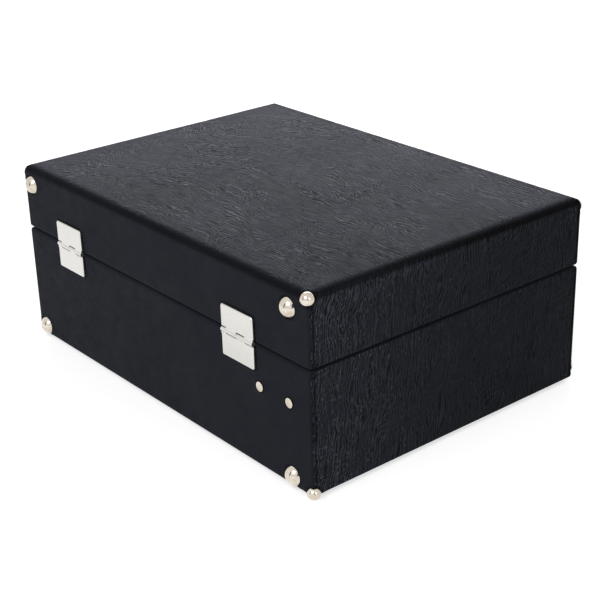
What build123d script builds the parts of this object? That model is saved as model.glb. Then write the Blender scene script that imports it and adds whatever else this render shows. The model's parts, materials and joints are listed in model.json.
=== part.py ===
from build123d import *
import os
from math import cos, radians, sin, sqrt

os.makedirs("parts", exist_ok=True)

# Frame: origin at the centre of the underside, X along the hinge line, hinges at +Y,
# handle and latches at -Y, Z up. "Left" pieces are at -X and "right" pieces at +X.

# Closed case, outside the leather
case_length = 400.0
case_depth = 290.0
base_height = 104.0
lid_height = 60.0
rim_gap = 0.8

# Leather skins
hide = 1.2
lid_edge_radius = 8.0
base_edge_radius = 2.0
corner_radius = 2.5
rim_radius = 3.0
seam_inset = 2.2
seam_width = 0.6
seam_depth = 0.5

# Plywood boards
wall_board = 8.0
base_board = 6.0
lid_board = 8.0

# Lip frame round the base's mouth
lip_thickness = 3.0
lip_rise = 5.6
lip_depth = 12.0
lip_relief = 0.8
back_lip_gap = 12.8

# Plush linings and padding
lining = 2.0
lid_lining_thickness = 1.5
lid_lining_gap = 2.4
pad_depth = 25.0
pad_edge_radius = 9.0
pad_crown = 3.0
pad_margin_front = 6.3
bed_drop = 2.0
bed_wall_end = 5.4
recess_floor = 12.8
recess_bevel = 3.0
divider_thickness = 6.0
accessory_width = 60.8

# Horn recess in the bed: coil and bell, with an island inside the coil
coil_radius = 100.0
coil_margin_left = 10.0
coil_margin_front = 13.8
bell_radius = 72.0
bell_margin_right = 13.4
bell_margin_back = 16.8
recess_blend = 18.0
island_radius = 40.0
island_height = 52.0
island_bevel = 5.0

# Butt hinges with pressed leaves
hinge_inset_left = 83.5
hinge_inset_right = 74.3
hinge_width = 39.0
hinge_height = 43.0
leaf_rise = 2.4
leaf_plate = 1.0
leaf_gap = 2.6
leaf_corner = 1.2
leaf_bend = 0.7
knuckle_radius = 2.1
knuckle_lengths = (6.0, 12.5, 10.0, 10.0)
knuckle_gap = 0.15
hinge_pin_radius = 0.9
hinge_stud_place = 11.0
hinge_stud_height = 13.0

# Fasteners
fit = 0.05
shank = 2.6
rove = 6.2
rove_thickness = 1.0
ball_radius = 5.4
ball_shank_length = 8.0
base_ball_inset = (2.2, 2.2, 2.0)
lid_ball_inset = (3.6, 1.8, 4.5)
side_stud_inset = 6.0
side_stud_drop = 8.5
side_stud_height = 4.6
stud_shank = 2.0
stud_shank_length = 5.6
foot_radius = 8.1
foot_height = 5.5
foot_inset_left = 24.0
foot_inset_right = 12.5
foot_shank_length = 7.0
base_foot_height = 8.4
lid_foot_drop = 17.0
tack_head_radius = 2.1
tack_head_height = 1.1
tack_taper = 40.0
tack_shank = 2.0
tack_length = 7.0

# Mouthpiece loop on the inside of the back wall, held by two rivets
loop_rivet_inset = 25.0
loop_rivet_pitch = 35.0
loop_rivet_height = 70.0
loop_rivet_head = 4.0
loop_rivet_head_height = 0.8
loop_strap = 1.6
loop_width = 24.0
loop_bow_radius = 10.0
loop_tab = 6.5

# Slotted lid stays at both ends
stay_reach = 55.0
stay_closed_angle = 50.0
lid_opening = 100.0
stay_half_width = 5.0
stay_plate = 1.6
stay_wall_gap = 1.6
stay_pin_radius = 2.0
stay_pin_slack = 0.1
stay_head_radius = 3.9
stay_head = 0.9
stay_boss_radius = 4.8
stay_side_gap = 0.25
stay_neck = 2.8
stay_neck_length = 6.0
stay_end_wall = 3.2

# Latches on the front
latch_inset = 80.0
lock_width = 40.0
lock_height = 21.0
lock_rise = 5.4
lock_plate = 1.0
lock_drop = 3.6
lock_corner = 1.4
plate_corner = 3.0
lock_bend = 0.8
lock_rivet_place = 17.0
keeper_width = 30.0
keeper_low = 3.8
keeper_height = 20.0
keeper_plate = 1.2
keeper_rivet_place = 10.6
tongue_width = 12.0
tongue_below = 18.0
tongue_above = 18.0
notch_low = 2.2
notch_height = 4.2
notch_depth = 4.5
tongue_slack = 1.2
nose_clearance = 0.3
nose_length = 8.0
nose_rest_gap = 0.6
nose_back_gap = 0.8
nose_thickness = 2.6
latch_travel = 4.5
stem_width = 4.0
stem_place = 2.4
stem_slack = 0.25
button_width = 8.6
button_rise = 4.0
button_edge = 1.2

# Handle on the front
handle_span = 112.0
handle_pivot_height = 75.0
handle_pivot_rise = 9.5
handle_drop = 44.0
handle_bend = 20.0
strap_thickness = 6.0
strap_width = 12.0
roll_radius = 8.0
roll_length = 70.0
grip_start = 12.0
clip_wall = 0.9
clip_length = 9.5
clip_cap = 1.5
lug_width = 3.4
lug_radius = 3.5
ear_plate = 1.5
ear_slack = 0.3
ear_radius = 4.5
bracket_width = 27.0
bracket_height = 14.0
bracket_plate = 1.2
bracket_rivet_place = 10.4
handle_pin_radius = 1.5
handle_pin_head = 2.6
handle_pin_head_height = 1.0

# Derived levels and faces
half_length = case_length / 2
half_depth = case_depth / 2
case_height = base_height + lid_height
base_rim = base_height - rim_gap / 2
lid_rim = base_height + rim_gap / 2
wall_inset = hide + wall_board
inner_x = half_length - wall_inset
inner_y = half_depth - wall_inset
board_top = hide + base_board
ceiling = case_height - hide - lid_board
floor = board_top + lining
lip_low = base_height - lip_depth
lip_top = base_height + lip_rise
room_x = inner_x - lining
room_y = inner_y - lining
back_lip_length = 2 * (inner_x - back_lip_gap)
hinge_places = (hinge_inset_left - half_length, half_length - hinge_inset_right)
latch_place = half_length - latch_inset
foot_places = (foot_inset_left - half_length, half_length - foot_inset_right)
loop_start = loop_rivet_inset - half_length
loop_rivet_places = (loop_start, loop_start + loop_rivet_pitch)
stay_plane = room_x - stay_wall_gap
hinge_y = half_depth + leaf_rise / 2
lid_lining_low = lip_top + lid_lining_gap
stay_a_y = hinge_y - stay_reach * cos(radians(stay_closed_angle / 2))
stay_step = stay_reach * sin(radians(stay_closed_angle / 2))
stay_shortest = 2 * stay_reach * sin(radians(stay_closed_angle / 2))
stay_longest = 2 * stay_reach * sin(radians((stay_closed_angle + lid_opening) / 2))
lock_top = base_height - lock_drop
front = -half_depth

LOW = (Align.CENTER, Align.CENTER, Align.MIN)
HIGH = (Align.CENTER, Align.CENTER, Align.MAX)


def save(piece, name):
    piece.label = name
    export_step(piece, f"parts/{name}.step")


# Rounded half of the case, drawn in by an inset on every side
def half_case(low, high, low_radius, high_radius, inset):
    middle = (low + high) / 2
    height = high - low - 2 * inset
    with BuildPart() as block:
        with BuildSketch(Plane.XY.offset(low + inset)):
            RectangleRounded(case_length - 2 * inset, case_depth - 2 * inset, corner_radius - inset)
        extrude(amount=height)
        for plane, width in ((Plane.XZ, case_length), (Plane.YZ, case_depth)):
            with BuildSketch(plane) as outline:
                with Locations((0, middle)):
                    Rectangle(width - 2 * inset, height)
                fillet(outline.vertices().group_by(Axis.Y)[-1], high_radius - inset)
                fillet(outline.vertices().group_by(Axis.Y)[0], low_radius - inset)
            extrude(amount=case_length, both=True, mode=Mode.INTERSECT)
    return block.part


base_outside = half_case(0, base_rim, base_edge_radius, rim_radius, 0)
base_core = half_case(0, base_rim, base_edge_radius, rim_radius, hide)
lid_outside = half_case(lid_rim, case_height, rim_radius, lid_edge_radius, 0)
lid_core = half_case(lid_rim, case_height, rim_radius, lid_edge_radius, hide)


# Square cut shank that runs down from the XY plane
def cut_shank(side, length, spare=0.0):
    Box(side + 2 * spare, side + 2 * spare, length + spare, align=HIGH)


# Nail with a domed head; the head stands on the XY plane
def dome_nail(head_radius, head_height, side, length):
    ball = (head_radius**2 + head_height**2) / (2 * head_height)
    with BuildPart() as nail:
        with Locations((0, 0, head_height - ball)):
            Sphere(ball)
        split(bisect_by=Plane.XY, keep=Keep.TOP)
        cut_shank(side, length)
    return nail.part


# Cut tack with a faceted rose head
def rose_tack(length):
    with BuildPart() as tack:
        with BuildSketch():
            RegularPolygon(tack_head_radius, 8)
        extrude(amount=tack_head_height, taper=tack_taper)
        cut_shank(tack_shank, length)
    return tack.part


# Ball stud with its centre at the origin
def ball_stud(spare=0.0):
    with BuildPart() as stud:
        Sphere(ball_radius + spare)
        cut_shank(stud_shank, ball_shank_length, spare)
    return stud.part


def back_planes(places, y=half_depth):
    return [Plane(origin=(x, y, z), z_dir=(0, 1, 0)) for x, z in places]


def front_planes(places, y=front):
    return [Plane(origin=(x, y, z), z_dir=(0, -1, 0)) for x, z in places]


# Corner studs: balls on the two corners of the left back edge, studs on the faces at the rest
base_ball = Plane(
    origin=(base_ball_inset[0] - half_length, half_depth - base_ball_inset[1], base_ball_inset[2]),
    z_dir=(-1, 1, -1),
)
lid_ball = Plane(
    origin=(
        lid_ball_inset[0] - half_length,
        half_depth - lid_ball_inset[1],
        case_height - lid_ball_inset[2],
    ),
    z_dir=(-1, 1, 1),
)
side_stud_x = half_length - side_stud_inset
side_stud_y = half_depth - side_stud_inset
base_side_studs, lid_side_studs = [
    front_planes([(-side_stud_x, level), (side_stud_x, level)])
    + [Plane(origin=(half_length, side_stud_y, level), z_dir=(1, 0, 0))]
    for level in (side_stud_drop, case_height - side_stud_drop)
]
base_feet_places = [(x, base_foot_height) for x in foot_places]
lid_feet_places = [(x, case_height - lid_foot_drop) for x in foot_places]
hinge_studs_x = [
    place + step for place in hinge_places for step in (-hinge_stud_place, hinge_stud_place)
]
base_hinge_places = [(x, base_height - hinge_stud_height) for x in hinge_studs_x]
lid_hinge_places = [(x, base_height + hinge_stud_height) for x in hinge_studs_x]
loop_places = [(x, loop_rivet_height) for x in loop_rivet_places]
lock_middle = lock_top - lock_height / 2
lock_rivet_places = [
    (side * latch_place + step, lock_middle)
    for side in (-1, 1)
    for step in (-lock_rivet_place, lock_rivet_place)
]
keeper_rivet_level = base_height + keeper_low + keeper_height / 2
keeper_rivet_places = [
    (side * latch_place + step, keeper_rivet_level)
    for side in (-1, 1)
    for step in (-keeper_rivet_place, keeper_rivet_place)
]
bracket_rivet_places = [
    (side * handle_span / 2 + step, handle_pivot_height)
    for side in (-1, 1)
    for step in (-bracket_rivet_place, bracket_rivet_place)
]

# Holes and seats for the fasteners of the base
with BuildPart() as base_cuts:
    with Locations(base_ball):
        add(ball_stud(fit))
    with Locations(*base_side_studs):
        cut_shank(stud_shank, stud_shank_length, fit)
    with Locations(*back_planes(base_feet_places)):
        cut_shank(shank, foot_shank_length, fit)
    with Locations(*back_planes(base_hinge_places)):
        cut_shank(shank, wall_inset, fit)
    with Locations(*back_planes(loop_places)):
        cut_shank(shank, wall_inset + lining, fit)
    with Locations(*back_planes(base_hinge_places, inner_y + rove_thickness)):
        cut_shank(rove, rove_thickness, fit)
    with Locations(*front_planes(lock_rivet_places + bracket_rivet_places)):
        cut_shank(tack_shank, tack_length, fit)

# Holes and seats for the fasteners of the lid
with BuildPart() as lid_cuts:
    with Locations(lid_ball):
        add(ball_stud(fit))
    with Locations(*lid_side_studs):
        cut_shank(stud_shank, stud_shank_length, fit)
    with Locations(*back_planes(lid_feet_places)):
        cut_shank(shank, foot_shank_length, fit)
    with Locations(*back_planes(lid_hinge_places)):
        cut_shank(shank, wall_inset, fit)
    with Locations(*back_planes(lid_hinge_places, inner_y + rove_thickness)):
        cut_shank(rove, rove_thickness, fit)
    with Locations(*front_planes(keeper_rivet_places)):
        cut_shank(tack_shank, tack_length, fit)

# Square holes for the necks of the stay pins (base) and stay pivots (lid) in the end walls
with BuildPart() as stay_cuts:
    for side in (-1, 1):
        for level in (base_height - stay_step, base_height + stay_step):
            with Locations(Plane(origin=(side * room_x, stay_a_y, level), z_dir=(-side, 0, 0))):
                cut_shank(stay_neck, lining + stay_neck_length, fit)


# Leather skin: outside of a half, turned over its rim and open at the mouth
def skin(outside, core, mouth_level, cuts):
    seam_y = half_depth - seam_inset - seam_width / 2
    with BuildPart() as cover:
        add(outside)
        add(core, mode=Mode.SUBTRACT)
        with Locations((0, 0, mouth_level)):
            Box(2 * inner_x, 2 * inner_y, 4 * hide, mode=Mode.SUBTRACT)
        for side_x in (-1, 1):
            for side_y in (-1, 1):
                with Locations((side_x * half_length, side_y * seam_y, base_height)):
                    Box(2 * seam_depth, seam_width, 2 * case_height, mode=Mode.SUBTRACT)
        add(cuts, mode=Mode.SUBTRACT)
    return cover.part


save(skin(base_outside, base_core, base_rim, base_cuts.part), "base_cover")
save(skin(lid_outside, lid_core, lid_rim, lid_cuts.part), "lid_cover")


# Board: a box limited to the space inside the leather
def board(core, cuts, size, centre):
    with BuildPart() as panel:
        with Locations(centre):
            Box(*size)
        add(core, mode=Mode.INTERSECT)
        add(cuts, mode=Mode.SUBTRACT)
        add(stay_cuts.part, mode=Mode.SUBTRACT)
    return panel.part


base_wall_height = base_rim - hide - board_top
base_wall_middle = board_top + base_wall_height / 2
lid_wall_height = ceiling - lid_rim - hide
lid_wall_middle = ceiling - lid_wall_height / 2
wall_x = inner_x + wall_board / 2
wall_y = inner_y + wall_board / 2

base_wall_size = (case_length, wall_board, base_wall_height)
base_end_size = (wall_board, 2 * inner_y, base_wall_height)
lid_wall_size = (case_length, wall_board, lid_wall_height)
lid_end_size = (wall_board, 2 * inner_y, lid_wall_height)
base_boards = {
    "base_back_wall": (base_wall_size, (0, wall_y, base_wall_middle)),
    "base_front_wall": (base_wall_size, (0, -wall_y, base_wall_middle)),
    "base_left_end": (base_end_size, (-wall_x, 0, base_wall_middle)),
    "base_right_end": (base_end_size, (wall_x, 0, base_wall_middle)),
    "base_bottom_panel": ((case_length, case_depth, base_board), (0, 0, board_top - base_board / 2)),
}
lid_boards = {
    "lid_back_wall": (lid_wall_size, (0, wall_y, lid_wall_middle)),
    "lid_front_wall": (lid_wall_size, (0, -wall_y, lid_wall_middle)),
    "lid_left_end": (lid_end_size, (-wall_x, 0, lid_wall_middle)),
    "lid_right_end": (lid_end_size, (wall_x, 0, lid_wall_middle)),
    "lid_top_panel": ((case_length, case_depth, lid_board), (0, 0, ceiling + lid_board / 2)),
}
for name, (size, centre) in base_boards.items():
    save(board(base_core, base_cuts.part, size, centre), name)
for name, (size, centre) in lid_boards.items():
    save(board(lid_core, lid_cuts.part, size, centre), name)

# Lip frame: four bars glued inside the base's mouth, relieved where the lid passes
lip_bar_height = lip_top - lip_low
relief_height = lip_top - base_rim
with BuildPart() as base_lip:
    for side in (-1, 1):
        bar_length = back_lip_length if side > 0 else 2 * inner_x
        with Locations((0, side * (inner_y - lip_thickness / 2), lip_low)):
            Box(bar_length, lip_thickness, lip_bar_height, align=LOW)
        with Locations((side * (inner_x - lip_thickness / 2), 0, lip_low)):
            Box(lip_thickness, 2 * (inner_y - lip_thickness), lip_bar_height, align=LOW)
    with Locations((0, 0, base_rim)):
        Box(2 * inner_x, 2 * inner_y, relief_height, align=LOW, mode=Mode.SUBTRACT)
    with BuildSketch(Plane.XY.offset(base_rim)):
        Rectangle(2 * (inner_x - lip_relief), 2 * (inner_y - lip_relief))
        Rectangle(2 * (inner_x - lip_thickness), 2 * (inner_y - lip_thickness), mode=Mode.SUBTRACT)
        with GridLocations(2 * inner_x, 2 * inner_y, 2, 2):
            Rectangle(
                2 * inner_x - back_lip_length, 2 * (lip_thickness + 1), mode=Mode.SUBTRACT
            )
    extrude(amount=relief_height)
save(base_lip.part, "base_lip")

# Plush lining of the base: floor and walls up to the lip
with BuildPart() as base_lining:
    with Locations((0, 0, board_top)):
        Box(2 * inner_x, 2 * inner_y, lip_low - board_top, align=LOW)
    with Locations((0, 0, floor)):
        Box(2 * room_x, 2 * room_y, lip_low - floor, align=LOW, mode=Mode.SUBTRACT)
    add(stay_cuts.part, mode=Mode.SUBTRACT)
    add(base_cuts.part, mode=Mode.SUBTRACT)
save(base_lining.part, "base_lining")

# Plush lining of the lid: ceiling and walls down to just above the lip
with BuildPart() as lid_lining:
    with Locations((0, 0, ceiling)):
        Box(2 * inner_x, 2 * inner_y, ceiling - lid_lining_low, align=HIGH)
    with Locations((0, 0, ceiling - lid_lining_thickness)):
        Box(
            2 * (inner_x - lid_lining_thickness),
            2 * (inner_y - lid_lining_thickness),
            ceiling - lid_lining_thickness - lid_lining_low,
            align=HIGH,
            mode=Mode.SUBTRACT,
        )
    add(stay_cuts.part, mode=Mode.SUBTRACT)
save(lid_lining.part, "lid_lining")

# Upholstered pad under the lid, crowned towards the horn both ways
pad_top = ceiling - lid_lining_thickness
pad_low = pad_top - pad_depth
pad_x = room_x - bed_wall_end
pad_y = inner_y - lid_lining_thickness - pad_margin_front
with BuildPart() as lid_pad:
    for plane, reach in ((Plane.XZ, pad_x), (Plane.YZ, pad_y)):
        with BuildSketch(plane) as profile:
            with BuildLine():
                ThreePointArc((-reach, pad_low + pad_crown), (0, pad_low), (reach, pad_low + pad_crown))
                Polyline(
                    (reach, pad_low + pad_crown), (reach, pad_top), (-reach, pad_top), (-reach, pad_low + pad_crown)
                )
            make_face()
            fillet(profile.vertices().group_by(Axis.Y)[0], pad_edge_radius)
        extrude(amount=case_length, both=True, mode=Mode.ADD if plane == Plane.XZ else Mode.INTERSECT)
save(lid_pad.part, "lid_pad")

# Divider of the accessory compartment
divider_right = -room_x + accessory_width + divider_thickness
bed_top = lip_low - bed_drop
with BuildPart() as compartment_divider:
    with Locations((divider_right - divider_thickness / 2, 0, floor)):
        Box(divider_thickness, 2 * room_y, bed_top - floor, align=LOW)
    fillet(compartment_divider.faces().sort_by(Axis.Z)[-1].edges().filter_by(Axis.Y), 2)
save(compartment_divider.part, "compartment_divider")

# Fitted bed with the recess for coil and bell
bed_right = room_x - bed_wall_end
recess_level = floor + recess_floor
coil_centre = (
    divider_right + coil_margin_left + coil_radius,
    coil_margin_front + coil_radius - room_y,
)
bell_centre = (
    bed_right - bell_margin_right - bell_radius,
    room_y - bell_margin_back - bell_radius,
)
with BuildPart() as horn_bed:
    with Locations(((divider_right + bed_right) / 2, 0, floor)):
        Box(bed_right - divider_right, 2 * room_y, bed_top - floor, align=LOW)
    with BuildSketch(Plane.XY.offset(bed_top)):
        with Locations(coil_centre):
            Circle(coil_radius)
        with Locations(bell_centre):
            Circle(bell_radius)
    extrude(amount=recess_level - bed_top, mode=Mode.SUBTRACT)
    fillet(horn_bed.edges().filter_by(Axis.Z).sort_by_distance((*coil_centre, bed_top))[:2], recess_blend)
    chamfer(horn_bed.faces().sort_by(Axis.Z)[-1].inner_wires().edges(), recess_bevel)
save(horn_bed.part, "horn_bed")

# Island that fills the middle of the coil
with BuildPart() as bed_island:
    with Locations((*coil_centre, recess_level)):
        Cylinder(island_radius, island_height, align=LOW)
    chamfer(bed_island.faces().sort_by(Axis.Z)[-1].edges(), island_bevel)
save(bed_island.part, "bed_island")

# Leather loop: two tabs against the lining and a bow between them
loop_middle = sum(loop_rivet_places) / 2
loop_reach = (loop_rivet_places[1] - loop_rivet_places[0]) / 2 + loop_tab
with BuildPart() as mouthpiece_loop:
    with BuildSketch(Plane.XY.offset(loop_rivet_height - loop_width / 2)):
        with Locations((loop_middle, room_y)):
            Circle(loop_bow_radius + loop_strap)
            Rectangle(2 * loop_reach, loop_strap, align=(Align.CENTER, Align.MAX))
            Circle(loop_bow_radius, mode=Mode.SUBTRACT)
            Rectangle(
                2 * loop_reach, 2 * loop_bow_radius, align=(Align.CENTER, Align.MIN), mode=Mode.SUBTRACT
            )
    extrude(amount=loop_width)
    with Locations(*back_planes(loop_places, room_y)):
        Box(shank + 2 * fit, shank + 2 * fit, 2 * loop_strap, align=HIGH, mode=Mode.SUBTRACT)
save(mouthpiece_loop.part, "mouthpiece_loop")

with BuildPart() as loop_rivets:
    with Locations(*back_planes(loop_places)):
        Cylinder(loop_rivet_head, loop_rivet_head_height, align=LOW)
        cut_shank(shank, wall_inset + lining + loop_strap)
    with Locations(*back_planes(loop_places, room_y - loop_strap)):
        cut_shank(rove, rove_thickness)
save(loop_rivets.part, "loop_rivets")

# Corner studs of each half: one ball on the left back corner, domed studs at the rest
for name, ball_plane, side_planes in (
    ("base_corner_studs", base_ball, base_side_studs),
    ("lid_corner_studs", lid_ball, lid_side_studs),
):
    with BuildPart() as corner_studs:
        with Locations(ball_plane):
            add(ball_stud())
        with Locations(*side_planes):
            add(dome_nail(ball_radius, side_stud_height, stud_shank, stud_shank_length))
    save(corner_studs.part, name)

# Domed feet on the back, on which the case stands when it is put down from the handle
for name, places in (("base_back_feet", base_feet_places), ("lid_back_feet", lid_feet_places)):
    with BuildPart() as feet:
        with Locations(*back_planes(places)):
            add(dome_nail(foot_radius, foot_height, shank, foot_shank_length))
    save(feet.part, name)


# Pressed hinge leaf with its own knuckles; up is 1 on the lid and -1 on the base
def hinge_leaf(centre_x, up, first):
    away = Align.MIN if up > 0 else Align.MAX
    with BuildPart() as leaf:
        with Locations((centre_x, half_depth, base_height + up * leaf_gap)):
            Box(
                hinge_width, leaf_rise, hinge_height / 2 - leaf_gap, align=(Align.CENTER, Align.MIN, away)
            )
        far = leaf.edges().filter_by(Axis.Y).sort_by(Axis.Z, reverse=up > 0)[:2]
        chamfer(far, leaf_corner)
        chamfer(leaf.faces().sort_by(Axis.Y)[-1].edges(), leaf_bend)
        with Locations((centre_x, half_depth, base_height + up * (leaf_gap + leaf_plate))):
            Box(
                hinge_width - 2 * leaf_plate,
                leaf_rise - leaf_plate,
                hinge_height / 2 - leaf_gap - 2 * leaf_plate,
                align=(Align.CENTER, Align.MIN, away),
                mode=Mode.SUBTRACT,
            )
        edge = centre_x + hinge_width / 2
        for index, length in enumerate(knuckle_lengths):
            if index % 2 == first:
                middle = edge - length / 2
                with Locations(Plane(origin=(middle, hinge_y, base_height), z_dir=(1, 0, 0))):
                    Cylinder(knuckle_radius, length)
                with Locations((middle, half_depth + leaf_rise, base_height)):
                    Box(length, leaf_plate, leaf_gap + leaf_plate, align=(Align.CENTER, Align.MAX, away))
            edge -= length + knuckle_gap
        with Locations(Plane(origin=(centre_x, hinge_y, base_height), z_dir=(1, 0, 0))):
            Cylinder(hinge_pin_radius + fit, 2 * hinge_width, mode=Mode.SUBTRACT)
    return leaf.part


for name, centre_x in zip(("left", "right"), hinge_places):
    save(hinge_leaf(centre_x, -1, 0), f"{name}_hinge_base_leaf")
    save(hinge_leaf(centre_x, 1, 1), f"{name}_hinge_lid_leaf")
    with BuildPart() as hinge_pin:
        with Locations(Plane(origin=(centre_x, hinge_y, base_height), z_dir=(1, 0, 0))):
            Cylinder(hinge_pin_radius, hinge_width)
    save(hinge_pin.part, f"{name}_hinge_pin")

# Square studs behind the hinge leaves, clinched over roves in the inner face of the wall
stud_length = wall_inset + leaf_rise - leaf_plate
for name, places in (("base_hinge_studs", base_hinge_places), ("lid_hinge_studs", lid_hinge_places)):
    with BuildPart() as studs:
        with Locations(*back_planes(places, inner_y + stud_length)):
            cut_shank(shank, stud_length)
        with Locations(*back_planes(places, inner_y + rove_thickness)):
            cut_shank(rove, rove_thickness)
    save(studs.part, name)

# Stays: a slotted arm swings on the lid's end wall and rides on a pin of the base's end wall
arm_inner = stay_plane - stay_plate
for name, side in (("left", -1), ("right", 1)):
    low_pin = base_height - stay_step
    high_pin = base_height + stay_step
    for suffix, level, wall_face in (
        ("stay_pin", low_pin, room_x),
        ("stay_pivot", high_pin, inner_x - lid_lining_thickness),
    ):
        boss_length = wall_face - stay_plane - stay_side_gap
        wall_plane = Plane(origin=(side * wall_face, stay_a_y, level), z_dir=(side, 0, 0))
        head_plane = wall_plane.offset(arm_inner - stay_side_gap - wall_face)
        with BuildPart() as pin:
            with BuildSketch(wall_plane):
                RegularPolygon(stay_boss_radius, 6)
            extrude(amount=-boss_length)
            with BuildSketch(head_plane):
                RegularPolygon(stay_head_radius, 6)
            extrude(amount=-stay_head)
            with Locations(wall_plane):
                Cylinder(stay_pin_radius, wall_face - arm_inner + stay_side_gap, align=HIGH)
            with Locations(wall_plane.offset(inner_x - wall_face + stay_neck_length)):
                cut_shank(stay_neck, inner_x - wall_face + stay_neck_length)
        save(pin.part, f"{name}_{suffix}")
    slot_half = stay_pin_radius + stay_pin_slack
    slot_top = high_pin - stay_shortest
    slot_bottom = high_pin - stay_longest
    arm_bottom = slot_bottom - stay_end_wall - slot_half
    arm_plane = Plane(
        origin=(side * (stay_plane - stay_plate / 2), stay_a_y, 0), x_dir=(0, 1, 0), z_dir=(1, 0, 0)
    )
    with BuildPart() as stay_arm:
        with BuildSketch(arm_plane):
            with Locations((0, (high_pin + arm_bottom + stay_half_width) / 2)):
                SlotCenterToCenter(
                    high_pin - arm_bottom - stay_half_width, 2 * stay_half_width, rotation=90
                )
            with Locations((0, high_pin)):
                Circle(slot_half, mode=Mode.SUBTRACT)
            with Locations((0, (slot_top + slot_bottom) / 2)):
                SlotCenterToCenter(
                    slot_top - slot_bottom, 2 * slot_half, rotation=90, mode=Mode.SUBTRACT
                )
        extrude(amount=stay_plate / 2, both=True)
    save(stay_arm.part, f"{name}_stay_arm")

# Latches: lock case and slider on the base, notched keeper tongue on the lid
tongue_back = front - keeper_plate
tongue_front = tongue_back - keeper_plate
notch_bottom = base_height - tongue_below + notch_low
nose_level = notch_bottom + notch_height / 2
for name, side in (("left", -1), ("right", 1)):
    middle = side * latch_place
    outward = Align.MIN if side > 0 else Align.MAX
    nose_start = middle + side * (tongue_width / 2 + nose_rest_gap)
    stem_x = nose_start + side * (stem_place + stem_width / 2)

    with BuildPart() as lock_case:
        with Locations((middle, front, lock_top)):
            Box(lock_width, lock_rise, lock_height, align=(Align.CENTER, Align.MAX, Align.MAX))
        chamfer(lock_case.edges().filter_by(Axis.Y), lock_corner)
        chamfer(lock_case.faces().sort_by(Axis.Y)[0].edges(), lock_bend)
        with Locations((middle, front, lock_top - lock_plate)):
            Box(
                lock_width - 2 * lock_plate,
                lock_rise - lock_plate,
                lock_height - 2 * lock_plate,
                align=(Align.CENTER, Align.MAX, Align.MAX),
                mode=Mode.SUBTRACT,
            )
        with Locations((middle, front, lock_top)):
            Box(
                tongue_width + 2 * tongue_slack,
                tongue_slack + 2 * keeper_plate,
                3 * lock_plate,
                align=(Align.CENTER, Align.MAX, Align.CENTER),
                mode=Mode.SUBTRACT,
            )
        with Locations((stem_x - side * latch_travel / 2, front - lock_rise, nose_level)):
            Box(
                stem_width + latch_travel + 2 * stem_slack,
                3 * lock_plate,
                stem_width + 2 * stem_slack,
                mode=Mode.SUBTRACT,
            )
        with Locations(*front_planes(lock_rivet_places)):
            Box(tack_shank + 2 * fit, tack_shank + 2 * fit, 2 * lock_rise, mode=Mode.SUBTRACT)
    save(lock_case.part, f"{name}_lock_case")

    nose_back = front - nose_back_gap
    stem_end = front - lock_rise - stem_slack
    with BuildPart() as slider:
        with Locations((nose_start, nose_back, nose_level)):
            Box(
                nose_length,
                nose_thickness,
                notch_height - 2 * nose_clearance,
                align=(outward, Align.MAX, Align.CENTER),
            )
        with Locations((stem_x, nose_back, nose_level)):
            Box(stem_width, nose_back - stem_end, stem_width, align=(Align.CENTER, Align.MAX, Align.CENTER))
    with BuildPart() as button:
        with BuildSketch(Plane(origin=(stem_x, stem_end, nose_level), z_dir=(0, -1, 0))):
            RegularPolygon(button_width / 2, 8, rotation=22.5)
        extrude(amount=button_rise)
        chamfer(button.faces().sort_by(Axis.Y)[0].edges(), button_edge)
        add(slider.part)
    save(button.part, f"{name}_latch_slider")

    with BuildPart() as keeper:
        with Locations((middle, front, base_height + keeper_low)):
            Box(keeper_width, keeper_plate, keeper_height, align=(Align.CENTER, Align.MAX, Align.MIN))
        chamfer(keeper.edges().filter_by(Axis.Y), plate_corner)
        with Locations((middle, tongue_back, base_height - tongue_below)):
            Box(
                tongue_width,
                keeper_plate,
                tongue_below + tongue_above,
                align=(Align.CENTER, Align.MAX, Align.MIN),
            )
        with Locations((middle + side * tongue_width / 2, tongue_back, notch_bottom)):
            Box(2 * notch_depth, 4 * keeper_plate, notch_height, align=LOW, mode=Mode.SUBTRACT)
        with Locations(*front_planes(keeper_rivet_places)):
            Box(tack_shank + 2 * fit, tack_shank + 2 * fit, 4 * keeper_plate, mode=Mode.SUBTRACT)
    save(keeper.part, f"{name}_keeper")

# Rose-headed tacks of lock cases, keepers and handle brackets
for name, places, rise in (
    ("lock_case_rivets", lock_rivet_places, lock_rise),
    ("keeper_rivets", keeper_rivet_places, keeper_plate),
    ("handle_bracket_rivets", bracket_rivet_places, bracket_plate),
):
    with BuildPart() as rivets:
        with Locations(*front_planes(places, front - rise)):
            add(rose_tack(tack_length + rise))
    save(rivets.part, name)

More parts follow.
